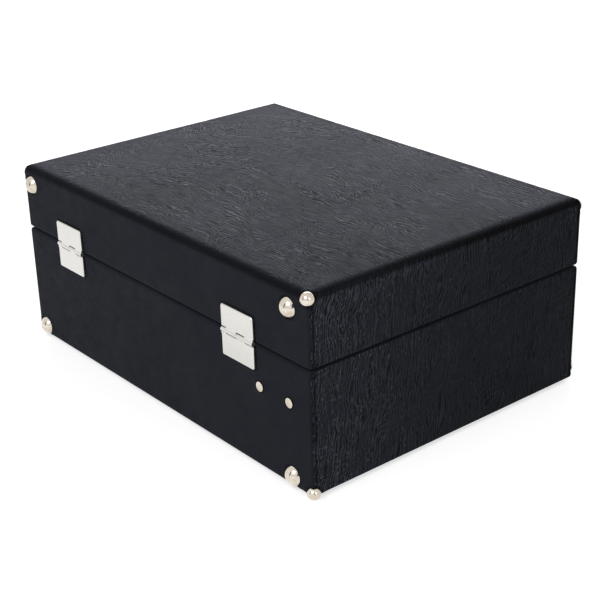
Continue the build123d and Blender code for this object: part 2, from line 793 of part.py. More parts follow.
# Handle: brackets, pins, strap clips with lugs, and the leather grip
pivot_y = front - handle_pivot_rise
ear_inner = lug_width / 2 + ear_slack
grip_top = handle_pivot_height - grip_start
for name, side in (("left", -1), ("right", 1)):
    middle = side * handle_span / 2
    pivot_plane = Plane(origin=(middle, pivot_y, handle_pivot_height), z_dir=(1, 0, 0))
    with BuildPart() as bracket:
        with Locations((middle, front, handle_pivot_height)):
            Box(bracket_width, bracket_plate, bracket_height, align=(Align.CENTER, Align.MAX, Align.CENTER))
        chamfer(bracket.edges().filter_by(Axis.Y), plate_corner)
        for step in (-1, 1):
            ear_x = middle + step * (ear_inner + ear_plate / 2)
            ear_plane = Plane(origin=(ear_x, pivot_y, handle_pivot_height), x_dir=(0, -1, 0), z_dir=(1, 0, 0))
            with BuildSketch(ear_plane):
                Circle(ear_radius)
                Rectangle(handle_pivot_rise - bracket_plate, 2 * ear_radius, align=(Align.MAX, Align.CENTER))
            extrude(amount=ear_plate / 2, both=True)
        with Locations(*front_planes(bracket_rivet_places)):
            Box(tack_shank + 2 * fit, tack_shank + 2 * fit, 4 * bracket_plate, mode=Mode.SUBTRACT)
        with Locations(pivot_plane):
            Cylinder(handle_pin_radius + fit, 2 * bracket_width, mode=Mode.SUBTRACT)
    save(bracket.part, f"{name}_handle_bracket")

    with BuildPart() as handle_pin:
        with Locations(pivot_plane):
            Cylinder(handle_pin_radius, 2 * (ear_inner + ear_plate))
        for step in (-1, 1):
            with BuildSketch(pivot_plane.offset(step * (ear_inner + ear_plate))):
                RegularPolygon(handle_pin_head, 6)
            extrude(amount=step * handle_pin_head_height)
    save(handle_pin.part, f"{name}_handle_pin")

    with BuildPart() as clip:
        with Locations((middle, pivot_y, grip_top + clip_cap)):
            Box(
                strap_thickness + 2 * clip_wall,
                strap_width + 2 * clip_wall,
                clip_length,
                align=HIGH,
            )
        chamfer(clip.faces().sort_by(Axis.Z)[-1].edges(), clip_wall)
        with Locations((middle, pivot_y, grip_top)):
            Box(strap_thickness, strap_width, clip_length, align=HIGH, mode=Mode.SUBTRACT)
        with BuildSketch(Plane(origin=pivot_plane.origin, x_dir=(0, -1, 0), z_dir=(1, 0, 0))):
            Circle(lug_radius)
            Rectangle(2 * lug_radius, grip_start - clip_cap / 2, align=(Align.CENTER, Align.MIN))
            Circle(handle_pin_radius + fit, mode=Mode.SUBTRACT)
        extrude(amount=lug_width / 2, both=True)
    save(clip.part, f"{name}_handle_ferrule")

grip_line = Plane(origin=(0, pivot_y, handle_pivot_height), x_dir=(1, 0, 0), z_dir=(0, -1, 0))
with BuildPart() as handle_grip:
    with BuildLine(grip_line) as path:
        FilletPolyline(
            (-handle_span / 2, -grip_start),
            (-handle_span / 2, -handle_drop),
            (handle_span / 2, -handle_drop),
            (handle_span / 2, -grip_start),
            radius=handle_bend,
        )
    with BuildSketch(Plane(origin=path.line @ 0, x_dir=(1, 0, 0), z_dir=path.line % 0)):
        Rectangle(strap_thickness, strap_width)
    sweep()
    with Locations(Plane(origin=(0, pivot_y, handle_pivot_height - handle_drop), z_dir=(1, 0, 0))):
        Cylinder(roll_radius, roll_length)
save(handle_grip.part, "handle_grip")
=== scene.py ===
import json
import math

import bmesh
import bpy
import numpy as np
from mathutils import Matrix, Vector
from mathutils.bvhtree import BVHTree

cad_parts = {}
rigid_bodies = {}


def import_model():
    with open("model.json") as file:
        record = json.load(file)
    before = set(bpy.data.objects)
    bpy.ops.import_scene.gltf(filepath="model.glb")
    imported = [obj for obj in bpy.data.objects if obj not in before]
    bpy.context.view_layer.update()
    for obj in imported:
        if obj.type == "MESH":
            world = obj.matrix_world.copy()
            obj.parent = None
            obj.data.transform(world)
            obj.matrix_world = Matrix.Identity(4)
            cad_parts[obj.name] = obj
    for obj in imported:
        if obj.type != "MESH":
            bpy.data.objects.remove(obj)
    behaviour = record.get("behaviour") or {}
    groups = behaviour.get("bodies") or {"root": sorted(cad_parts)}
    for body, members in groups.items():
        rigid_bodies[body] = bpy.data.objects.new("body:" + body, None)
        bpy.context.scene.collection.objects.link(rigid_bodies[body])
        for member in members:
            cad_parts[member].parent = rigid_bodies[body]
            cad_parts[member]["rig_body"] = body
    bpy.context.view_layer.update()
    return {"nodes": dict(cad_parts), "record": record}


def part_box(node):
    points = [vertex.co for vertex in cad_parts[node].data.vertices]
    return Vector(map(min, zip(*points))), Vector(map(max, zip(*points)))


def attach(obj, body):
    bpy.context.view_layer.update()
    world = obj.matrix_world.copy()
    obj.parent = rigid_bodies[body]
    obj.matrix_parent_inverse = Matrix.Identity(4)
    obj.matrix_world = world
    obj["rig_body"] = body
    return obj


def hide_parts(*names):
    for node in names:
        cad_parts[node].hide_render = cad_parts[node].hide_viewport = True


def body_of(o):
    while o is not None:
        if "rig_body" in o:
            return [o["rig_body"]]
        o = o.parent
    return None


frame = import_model()
nodes = frame["nodes"]

MM = 0.001

# Sizes read from the frame
lid_low, lid_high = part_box("lid_cover")
base_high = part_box("base_cover")[1]
half_x = lid_high.x
half_y = lid_high.y
top_level = lid_high.z
lid_rim = lid_low.z
base_rim = base_high.z
wall_in = half_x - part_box("base_lining")[1].x

# Leather form: roundings, mesh step and the pair of seams beside each upright corner
top_edge = 8.0 * MM
rim_edge = 3.0 * MM
bottom_edge = 2.0 * MM
corner_edge = 2.5 * MM
leather_step = 1.25 * MM
corner_steps = 4
seam_places = (1.9 * MM, 3.6 * MM)
seam_width = 0.42 * MM
seam_depth = 0.75 * MM

# Leather wrinkles: distance from one to the next
broad_wrinkle = 3.1 * MM
fine_wrinkle = 1.7 * MM
crossing_wrinkle = 3.6 * MM

# How the leather lies against the metal on it
metal_reach = 7.0 * MM
contact_width = 1.3 * MM
puff_place = 2.4 * MM
puff_width = 1.3 * MM
puff_height = 0.22 * MM
contact_depth = 0.12 * MM

# Least angle of an edge that is rounded on the pressed metal
sharp_angle = math.radians(32)

# Plush and padding
plush_step = 3.0 * MM
base_plush_thickness = 2.0 * MM
lid_plush_thickness = 1.5 * MM
plush_fold = 3.0 * MM
pad_voxel = 5.0 * MM
bed_voxel = 2.6 * MM
pad_shrink = 2.0 * MM
pad_cap = 3.0 * MM
cloth_frames = 20
cloth_pressure = 4.0
tuft_grid = (4, 3)
tuft_margin = 0.4
tuft_pin = 6.0 * MM
tuft_width = 9.0 * MM
tuft_depth = 5.0 * MM
button_sides = 20
channel_inset = 17.0 * MM
channel_width = 1.7 * MM
channel_depth = 2.2 * MM

# Strap handle and mouthpiece loop
strap_half_thick = 3.0 * MM
strap_half_wide = 6.0 * MM
strap_bend = 20.0 * MM
roll_radius = 8.0 * MM
roll_half = 35.0 * MM
roll_taper = 7.0 * MM
grip_stitch = (1.7 * MM, 0.4 * MM)
loop_bow = 10.0 * MM
loop_thick = 1.6 * MM
loop_ease = 1.2 * MM
loop_seam = 2.4 * MM
loop_stitch = (0.95 * MM, 0.25 * MM)

# Studio: tone and glow of the floor, light of the sky, and corners of a square
floor_reach = 6.0
floor_tone = 0.82
floor_glow = 0.62
sky_level = 0.35
square = ((-1, -1), (1, -1), (1, 1), (-1, 1))


# Lattice noise in numpy: gradient noise with a seeded hash, one value per point
def lattice_hash(cell, seed):
    cell = cell.astype(np.int64)
    h = cell[:, 0] * 374761393 + cell[:, 1] * 668265263 + cell[:, 2] * 2147483647 + seed * 974634777
    h = (h ^ (h >> 13)) * 1274126177
    h = h & 0x7FFFFFFF
    return (h ^ (h >> 16)) & 0x7FFFFFFF


def noise(points, seed):
    cell = np.floor(points)
    local = points - cell
    fade = local * local * local * (local * (local * 6 - 15) + 10)
    total = np.zeros(len(points))
    for dx in (0, 1):
        for dy in (0, 1):
            for dz in (0, 1):
                h = lattice_hash(cell + (dx, dy, dz), seed)
                turn = (h % 1024) * (2 * np.pi / 1024)
                lift = ((h // 1024) % 1024) / 512.0 - 1
                flat = np.sqrt(1 - lift * lift)
                dot = (
                    flat * np.cos(turn) * (local[:, 0] - dx)
                    + flat * np.sin(turn) * (local[:, 1] - dy)
                    + lift * (local[:, 2] - dz)
                )
                weight = (
                    (fade[:, 0] if dx else 1 - fade[:, 0])
                    * (fade[:, 1] if dy else 1 - fade[:, 1])
                    * (fade[:, 2] if dz else 1 - fade[:, 2])
                )
                total += dot * weight
    return total * 1.6


def smooth(value, low, high):
    t = np.clip((value - low) / (high - low), 0, 1)
    return t * t * (3 - 2 * t)


# Mesh and material helpers
def new_material(name):
    material = bpy.data.materials.new(name)
    material.use_nodes = True
    tree = material.node_tree
    shader = tree.nodes["Principled BSDF"]
    return material, tree, shader


def add_node(tree, kind, **values):
    node = tree.nodes.new(kind)
    for key, value in values.items():
        if key in node.inputs:
            node.inputs[key].default_value = value
        else:
            setattr(node, key, value)
    return node


def object_coords(tree, scale=(1, 1, 1), rotation=(0, 0, 0), source=None):
    mapping = tree.nodes.new("ShaderNodeMapping")
    mapping.inputs["Scale"].default_value = scale
    mapping.inputs["Rotation"].default_value = rotation
    if source is None:
        source = tree.nodes.new("ShaderNodeTexCoord").outputs["Object"]
    tree.links.new(source, mapping.inputs["Vector"])
    return mapping.outputs["Vector"]


def noise_node(tree, vector, scale, detail=4.0, roughness=0.55, distortion=0.0):
    node = tree.nodes.new("ShaderNodeTexNoise")
    node.inputs["Scale"].default_value = scale
    node.inputs["Detail"].default_value = detail
    node.inputs["Roughness"].default_value = roughness
    node.inputs["Distortion"].default_value = distortion
    tree.links.new(vector, node.inputs["Vector"])
    return node.outputs["Fac"]


# Distance to the edge of the nearest cell
def voronoi_node(tree, vector, scale):
    node = tree.nodes.new("ShaderNodeTexVoronoi")
    node.feature = "DISTANCE_TO_EDGE"
    node.inputs["Scale"].default_value = scale
    tree.links.new(vector, node.inputs["Vector"])
    return node.outputs["Distance"]


def math_node(tree, operation, first, second=None, clamp=False):
    node = tree.nodes.new("ShaderNodeMath")
    node.operation = operation
    node.use_clamp = clamp
    for index, value in enumerate((first, second)):
        if value is None:
            continue
        if isinstance(value, (int, float)):
            node.inputs[index].default_value = value
        else:
            tree.links.new(value, node.inputs[index])
    return node.outputs[0]


def ramp_node(tree, factor, stops):
    node = tree.nodes.new("ShaderNodeValToRGB")
    ramp = node.color_ramp
    while len(ramp.elements) < len(stops):
        ramp.elements.new(0.5)
    for element, (place, colour) in zip(ramp.elements, stops):
        element.position = place
        element.color = (*colour, 1) if len(colour) == 3 else colour
    tree.links.new(factor, node.inputs["Fac"])
    return node.outputs["Color"]


def range_node(tree, factor, low, high, from_low=0.0, from_high=1.0):
    node = tree.nodes.new("ShaderNodeMapRange")
    node.inputs["From Min"].default_value = from_low
    node.inputs["From Max"].default_value = from_high
    node.inputs["To Min"].default_value = low
    node.inputs["To Max"].default_value = high
    tree.links.new(factor, node.inputs["Value"])
    return node.outputs["Result"]


def bump_chain(tree, shader, layers):
    previous = None
    for height, strength, distance in layers:
        bump = tree.nodes.new("ShaderNodeBump")
        bump.inputs["Strength"].default_value = strength
        bump.inputs["Distance"].default_value = distance
        tree.links.new(height, bump.inputs["Height"])
        if previous is not None:
            tree.links.new(previous, bump.inputs["Normal"])
        previous = bump.outputs["Normal"]
    tree.links.new(previous, shader.inputs["Normal"])


def mix_colour(tree, factor, first, second):
    node = tree.nodes.new("ShaderNodeMix")
    node.data_type = "RGBA"
    tree.links.new(factor, node.inputs[0])
    for socket, value in ((node.inputs[6], first), (node.inputs[7], second)):
        if isinstance(value, tuple):
            socket.default_value = (*value, 1)
        else:
            tree.links.new(value, socket)
    return node.outputs[2]


# Wavy wrinkles: a sine across the flow whose phase wanders, from -1 in the valleys to 1 on the ridges
def wrinkle_wave(tree, flow, period, wander, stretch, layer):
    parts = tree.nodes.new("ShaderNodeSeparateXYZ")
    tree.links.new(flow, parts.inputs[0])
    shifted = add_node(tree, "ShaderNodeVectorMath", operation="ADD")
    tree.links.new(flow, shifted.inputs[0])
    shifted.inputs[1].default_value = (0, 0, layer)
    drift = noise_node(tree, object_coords(tree, stretch, source=shifted.outputs[0]), 1.0, 3, 0.55, 0.3)
    phase = math_node(
        tree, "ADD",
        math_node(tree, "MULTIPLY", parts.outputs["Y"], 2 * math.pi / period),
        math_node(tree, "MULTIPLY", drift, wander),
    )
    return math_node(tree, "SINE", phase)


# How strongly a kind of wrinkle shows from place to place
def wrinkle_share(tree, source, stretch, low, high, from_low, from_high):
    value = noise_node(tree, object_coords(tree, stretch, source=source), 1.0, 3)
    return range_node(tree, value, low, high, from_low, from_high)


def attribute(tree, name, output="Fac"):
    node = tree.nodes.new("ShaderNodeAttribute")
    node.attribute_name = name
    return node.outputs[output]


# Sum of products of sockets
def weighted_sum(tree, pairs):
    total = None
    for first, second in pairs:
        product = math_node(tree, "MULTIPLY", first, second)
        total = product if total is None else math_node(tree, "ADD", total, product)
    return total


# Black leather: wrinkles that follow the painted flow, a painted sheen on the top with painted
# highlights on its ridges, painted glints, painted shade in the creases, and painted shade in dark
# rings round the metal, in the seams and on the edges
def case_leather():
    material, tree, shader = new_material("case_leather")
    coords = tree.nodes.new("ShaderNodeTexCoord").outputs["Object"]
    flow = attribute(tree, "flow", "Vector")
    pale = attribute(tree, "pale")
    glint = attribute(tree, "glint")
    mottle = noise_node(tree, flow, 75, 5, 0.62, 0.5)
    cloud = noise_node(tree, coords, 16, 4, 0.6)
    grain = voronoi_node(tree, coords, 900)

    turned = object_coords(tree, (1, 1, 1), (0, 0, 1.1), flow)
    broad = wrinkle_wave(tree, flow, broad_wrinkle, 34, (26, 85, 30), 0.0)
    fine = wrinkle_wave(tree, flow, fine_wrinkle, 30, (60, 170, 60), 0.4)
    crossing = wrinkle_wave(tree, turned, crossing_wrinkle, 40, (40, 60, 30), 0.8)
    broad_share = wrinkle_share(tree, flow, (30, 70, 30), 0.22, 1.1, 0.38, 0.56)
    fine_share = wrinkle_share(tree, flow, (45, 110, 45), 0.25, 0.9, 0.42, 0.60)
    cross_share = range_node(tree, noise_node(tree, coords, 22, 3), 0.0, 0.8, 0.52, 0.66)
    wave = weighted_sum(tree, [(broad, broad_share), (fine, fine_share), (crossing, cross_share)])
    wave = math_node(tree, "MULTIPLY", wave, attribute(tree, "crease"))
    creases = range_node(tree, wave, 1.0, 0.0, -0.95, -0.12)
    ridges = range_node(tree, wave, 0.0, 1.0, 0.1, 1.2)

    plain = ramp_node(tree, cloud, [(0.3, (0.0165, 0.0185, 0.0250)), (0.75, (0.0215, 0.0235, 0.0305))])
    # Painted sheen: a paler bluish tone laid over the top
    sheen_colour = ramp_node(tree, mottle, [(0.3, (0.062, 0.062, 0.078)), (0.7, (0.098, 0.098, 0.120))])
    tone = mix_colour(tree, pale, plain, sheen_colour)
    # Painted highlight: the ridges of the wrinkles lightened, most where the painted sheen and glints
    # are
    lift = math_node(tree, "ADD", pale, math_node(tree, "MULTIPLY", glint, 0.28), True)
    tone = mix_colour(tree, math_node(tree, "MULTIPLY", ridges, lift), tone, (0.26, 0.26, 0.31))
    # Painted shade: the crease valleys darkened
    tone = mix_colour(tree, math_node(tree, "MULTIPLY", creases, 0.95), tone, (0.0045, 0.0048, 0.0072))
    # Painted glints: small bright specks among the fine wrinkles
    specks = noise_node(tree, object_coords(tree, (300, 1500, 300), source=flow), 1.0, 2, 0.5)
    bright = math_node(
        tree, "MULTIPLY", range_node(tree, specks, 0.0, 1.0, 0.56, 0.68),
        math_node(tree, "MULTIPLY", glint, fine_share), True,
    )
    tone = mix_colour(tree, bright, tone, (0.23, 0.25, 0.29))
    # Painted shade: darker round the metal, in the seam grooves, along the turned edges of the top and
    # on the ends away from the back
    tone = mix_colour(tree, attribute(tree, "painted_shade"), tone, (0.0022, 0.0022, 0.0026))
    tree.links.new(tone, shader.inputs["Base Color"])
    tree.links.new(range_node(tree, mottle, 0.42, 0.60, 0.3, 0.7), shader.inputs["Roughness"])
    shader.inputs["Specular IOR Level"].default_value = 0.022
    layers = [
        (wave, 0.85, 0.28 * MM),
        (mottle, 0.25, 0.45 * MM),
        (range_node(tree, grain, 0, 1, 0.0, 0.25), 0.3, 0.08 * MM),
    ]
    bump_chain(tree, shader, layers)
    return material


# Smooth leather of the grip and the loop
def plain_leather(name, dark, light, scale):
    material, tree, shader = new_material(name)
    coords = tree.nodes.new("ShaderNodeTexCoord").outputs["Object"]
    grain = voronoi_node(tree, coords, scale)
    cloud = noise_node(tree, coords, 60, 5, 0.6)
    colour = ramp_node(tree, cloud, [(0.3, dark), (0.7, light)])
    tree.links.new(colour, shader.inputs["Base Color"])
    tree.links.new(range_node(tree, cloud, 0.38, 0.55, 0.3, 0.7), shader.inputs["Roughness"])
    shader.inputs["Specular IOR Level"].default_value = 0.45
    bump_chain(
        tree, shader,
        [(cloud, 0.3, 0.4 * MM), (range_node(tree, grain, 0, 1, 0.0, 0.3), 0.4, 0.12 * MM)],
    )
    return material


# Plated metal with faint scratches and tarnish
def plated(name, colour, tarnish, low, high, scratch=0.1):
    material, tree, shader = new_material(name)
    coords = tree.nodes.new("ShaderNodeTexCoord").outputs["Object"]
    haze = noise_node(tree, coords, 130, 5, 0.6)
    lines = noise_node(tree, object_coords(tree, (0.2, 1, 6), source=coords), 700, 3, 0.5)
    tint = ramp_node(tree, haze, [(0.3, colour), (0.85, tarnish)])
    tree.links.new(tint, shader.inputs["Base Color"])
    tree.links.new(range_node(tree, haze, low, high, 0.3, 0.75), shader.inputs["Roughness"])
    shader.inputs["Metallic"].default_value = 1.0
    bump_chain(tree, shader, [(lines, scratch, 0.03 * MM), (haze, 0.08, 0.2 * MM)])
    return material


# Napped plush with crushed patches
def plush(name, dark, light):
    material, tree, shader = new_material(name)
    coords = tree.nodes.new("ShaderNodeTexCoord").outputs["Object"]
    nap = noise_node(tree, coords, 1900, 2, 0.7)
    crush = noise_node(tree, coords, 26, 5, 0.62, 0.8)
    crush_fine = noise_node(tree, object_coords(tree, (1.6, 0.7, 1), source=coords), 120, 4, 0.6)
    both = weighted_sum(tree, [(crush, 0.6), (crush_fine, 0.4)])
    colour = ramp_node(tree, both, [(0.38, dark), (0.62, light)])
    tree.links.new(colour, shader.inputs["Base Color"])
    shader.inputs["Roughness"].default_value = 0.92
    shader.inputs["Sheen Weight"].default_value = 0.55
    shader.inputs["Sheen Roughness"].default_value = 0.35
    shader.inputs["Sheen Tint"].default_value = (*[min(1, c * 6) for c in light], 1)
    shader.inputs["Specular IOR Level"].default_value = 0.15
    bump_chain(tree, shader, [(crush_fine, 0.3, 0.5 * MM), (nap, 0.5, 0.25 * MM)])
    return material


# Raw birch plywood with grain along X
def plywood():
    material, tree, shader = new_material("plywood")
    coords = tree.nodes.new("ShaderNodeTexCoord").outputs["Object"]
    grain = noise_node(tree, object_coords(tree, (0.12, 1, 1), source=coords), 210, 5, 0.6, 0.4)
    pores = noise_node(tree, object_coords(tree, (0.06, 1, 1), source=coords), 1400, 2, 0.5)
    colour = ramp_node(tree, grain, [(0.3, (0.52, 0.36, 0.2)), (0.7, (0.68, 0.52, 0.33))])
    tree.links.new(colour, shader.inputs["Base Color"])
    tree.links.new(range_node(tree, pores, 0.5, 0.75), shader.inputs["Roughness"])
    bump_chain(tree, shader, [(grain, 0.2, 0.15 * MM), (pores, 0.3, 0.06 * MM)])
    return material


# Black painted wood of the lip
def painted_wood():
    material, tree, shader = new_material("lip_paint")
    coords = tree.nodes.new("ShaderNodeTexCoord").outputs["Object"]
    grain = noise_node(tree, object_coords(tree, (0.1, 1, 1), source=coords), 260, 5, 0.6)
    cloud = noise_node(tree, coords, 40, 4, 0.6)
    colour = ramp_node(tree, cloud, [(0.3, (0.012, 0.011, 0.011)), (0.8, (0.026, 0.023, 0.021))])
    tree.links.new(colour, shader.inputs["Base Color"])
    tree.links.new(range_node(tree, grain, 0.35, 0.5), shader.inputs["Roughness"])
    bump_chain(tree, shader, [(grain, 0.25, 0.12 * MM)])
    return material


leather = case_leather()
grip_leather = plain_leather("grip_leather", (0.011, 0.011, 0.013), (0.021, 0.02, 0.021), 800)
loop_leather = plain_leather("loop_leather", (0.085, 0.035, 0.016), (0.15, 0.07, 0.034), 700)
nickel = plated("nickel", (0.76, 0.72, 0.65), (0.50, 0.40, 0.28), 0.07, 0.16)
hinge_nickel = plated("hinge_nickel", (0.68, 0.67, 0.64), (0.66, 0.645, 0.61), 0.27, 0.29, 0.015)
steel = plated("steel", (0.60, 0.60, 0.60), (0.46, 0.46, 0.45), 0.28, 0.45, 0.35)
wine_plush = plush("wine_plush", (0.075, 0.006, 0.013), (0.19, 0.018, 0.034))
wood = plywood()
lip_paint = painted_wood()
dark_thread = plain_leather("dark_thread", (0.03, 0.028, 0.026), (0.07, 0.066, 0.06), 2500)
tan_thread = plain_leather("tan_thread", (0.30, 0.20, 0.10), (0.48, 0.35, 0.20), 2500)


# Evenly sampled rounded rectangle drawn in by inset, as the case's plan
def plan_ring(inset, count_x, count_y, arc_steps):
    ax, ay = half_x - inset, half_y - inset
    r = max(corner_edge - inset, 0.0)
    points = []
    sides = (
        ((-(ax - r), -ay), (ax - r, -ay), count_x, (ax - r, -(ay - r)), -90),
        ((ax, -(ay - r)), (ax, ay - r), count_y, (ax - r, ay - r), 0),
        ((ax - r, ay), (-(ax - r), ay), count_x, (-(ax - r), ay - r), 90),
        ((-ax, ay - r), (-ax, -(ay - r)), count_y, (-(ax - r), -(ay - r)), 180),
    )
    for start, end, count, centre, first in sides:
        t = np.linspace(0, 1, count + 1)
        points.append(np.outer(1 - t, start) + np.outer(t, end))
        angles = np.radians(first + 90 * np.arange(1, arc_steps) / arc_steps)
        arc = np.column_stack((centre[0] + r * np.cos(angles), centre[1] + r * np.sin(angles)))
        points.append(arc)
    return np.vstack(points)


# Vertical section of a half, from the flat outer face over the edge, down the side and round the rim
def section(outer_level, edge, rim_level, inner_level, step):
    way = 1 if rim_level > outer_level else -1
    path = []
    for a in np.linspace(0, 90, 9):
        c, s = math.cos(math.radians(a)), math.sin(math.radians(a))
        path.append((edge - edge * s, outer_level + way * edge * (1 - c)))
    start = outer_level + way * edge
    end = rim_level - way * rim_edge
    rows = max(2, round(abs(end - start) / step))
    for t in np.linspace(0, 1, rows + 1)[1:]:
        path.append((0.0, start + t * (end - start)))
    for a in np.linspace(0, 90, 7)[1:]:
        c, s = math.cos(math.radians(a)), math.sin(math.radians(a))
        path.append((rim_edge * (1 - c), end + way * rim_edge * s))
    path.append(((rim_edge + wall_in) / 2, rim_level))
    path.append((wall_in, rim_level))
    if inner_level is not None:
        path.append((wall_in + 0.4 * MM, rim_level - way * 0.4 * MM))
        path.append((wall_in + 0.4 * MM, inner_level))
        path.append((wall_in, inner_level))
    else:
        path.append((wall_in, rim_level - way * 1.2 * MM))
    return path


# Rings along a path of (inset, level), with a flat grid that fills the first ring
def ring_mesh(path, face_inset, face_level, step, upward):
    count_x = 2 * round(half_x / step)
    count_y = 2 * round(half_y / step)
    rings = []
    for inset, level in path:
        ring = plan_ring(inset, count_x, count_y, corner_steps)
        rings.append(np.column_stack((ring, np.full(len(ring), level))))
    size = len(rings[0])
    verts = [np.vstack(rings)]
    faces = []
    index = np.arange(size)
    following = (index + 1) % size
    for row in range(len(rings) - 1):
        a, b = row * size + index, row * size + following
        quad = np.column_stack((a, b, b + size, a + size))
        faces.append(quad[:, ::-1] if upward else quad)
    xs = np.linspace(-(half_x - face_inset), half_x - face_inset, count_x + 1)
    ys = np.linspace(-(half_y - face_inset), half_y - face_inset, count_y + 1)
    grid_x, grid_y = np.meshgrid(xs, ys, indexing="ij")
    grid = np.column_stack((grid_x.ravel(), grid_y.ravel(), np.full(grid_x.size, face_level)))
    offset = len(verts[0])
    verts.append(grid)
    i, j = np.meshgrid(np.arange(count_x), np.arange(count_y), indexing="ij")
    a = offset + (i * (count_y + 1) + j).ravel()
    quad = np.column_stack((a, a + count_y + 1, a + count_y + 2, a + 1))
    faces.append(quad if upward else quad[:, ::-1])
    return np.vstack(verts), np.vstack(faces)


def skin_mesh(outer_level, edge, rim_level, inner_level):
    path = section(outer_level, edge, rim_level, inner_level, leather_step)
    return ring_mesh(path, edge, outer_level, leather_step, rim_level < outer_level)


def weld(verts, faces):
    keys = np.round(verts / 1e-6).astype(np.int64)
    _, first, back = np.unique(keys, axis=0, return_index=True, return_inverse=True)
    faces = back.reshape(-1)[faces]
    good = (faces != np.roll(faces, -1, axis=1)).all(axis=1)
    thin = faces[~good]
    quads = faces[good]
    triangles = []
    for face in thin:
        corners = list(dict.fromkeys(face.tolist()))
        if len(corners) == 3:
            triangles.append(corners)
    return verts[first], quads, triangles


def fast_mesh(name, verts, quads, triangles):
    mesh = bpy.data.meshes.new(name)
    mesh.vertices.add(len(verts))
    mesh.vertices.foreach_set("co", verts.astype(np.float32).ravel())
    loops = np.concatenate((quads.ravel(), np.array(triangles, int).ravel())).astype(np.int32)
    mesh.loops.add(len(loops))
    mesh.loops.foreach_set("vertex_index", loops)
    count = len(quads) + len(triangles)
    mesh.polygons.add(count)
    starts = np.concatenate(
        (np.arange(len(quads)) * 4, len(quads) * 4 + np.arange(len(triangles)) * 3)
    ).astype(np.int32)
    mesh.polygons.foreach_set("loop_start", starts)
    mesh.update(calc_edges=True)
    mesh.validate()
    mesh.shade_smooth()
    return mesh


# Mesh coordinates as an array, and back
def coordinates(mesh):
    flat = np.empty(len(mesh.vertices) * 3, np.float32)
    mesh.vertices.foreach_get("co", flat)
    return flat.reshape(-1, 3).astype(float)


def set_coordinates(mesh, verts):
    mesh.vertices.foreach_set("co", verts.astype(np.float32).ravel())
    mesh.update()


def vertex_normals(mesh):
    normals = np.zeros(len(mesh.vertices) * 3, np.float32)
    mesh.vertex_normals.foreach_get("vector", normals)
    return normals.reshape(-1, 3).astype(float)


# Long contour lines of stretched noise: each is a crease
def crease_field(points, stretch, seed, width, warp=0.35):
    q = points * stretch
    bend = np.column_stack([noise(q * 0.6 + 31.7 * k, seed + 50 + k) for k in range(3)])
    value = noise(q + warp * bend, seed)
    return np.exp(-((value / width) ** 2))


# Distance from each point to the metal that sits on the leather of one body
def metal_distance(points, body, reach):
    verts, faces = [], []
    for entry in frame["record"]["subparts"]:
        if entry["material_slot"] not in ("nickel", "hinge_nickel"):
            continue
        obj = nodes[entry["node"]]
        if body_of(obj)[0] != body:
            continue
        start = len(verts)
        verts.extend(tuple(v.co) for v in obj.data.vertices)
        faces.extend(tuple(start + i for i in p.vertices) for p in obj.data.polygons)
    tree = BVHTree.FromPolygons(verts, faces)
    distance = np.full(len(points), reach)
    for index, point in enumerate(points):
        hit = tree.find_nearest(Vector(point), reach)
        if hit[3] is not None:
            distance[index] = hit[3]
    return distance


# Bell curve round zero
def bell(value, width):
    return np.exp(-((value / width) ** 2))


# How deep each point lies in the pair of grooves beside the upright corners
def seam_share(points):
    on_end = np.abs(points[:, 0]) > half_x - 0.6 * MM
    inward = half_y - np.abs(points[:, 1])
    grooves = sum(bell(inward - place, seam_width) for place in seam_places)
    return np.where(on_end, np.clip(grooves, 0, 1), 0.0)


# Height of the creases and of the padding's swell, in metres; p is in millimetres
def relief(p, up, end, side, patch, across, lean):
    top_points = np.column_stack((p[:, 0], across, p[:, 2]))
    top = 0.16 * crease_field(top_points, (0.035, 0.21, 0.0), 11, 0.10)
    top += 0.09 * crease_field(top_points, (0.07, 0.40, 0.0), 12, 0.13)
    top *= 0.4 + 0.8 * patch
    ends = 0.08 * noise(np.column_stack((p[:, 0], p[:, 1] + lean, p[:, 2])) * (0.0, 0.35, 0.05), 22)
    long_side = 0.02 * noise(p * (0.05, 0.0, 0.12), 31)
    swell = 0.09 * noise(p / 38.0, 40)
    return ((up + 0.5 * end + 0.4 * side) * swell - (up * top + end * ends + side * long_side)) * MM
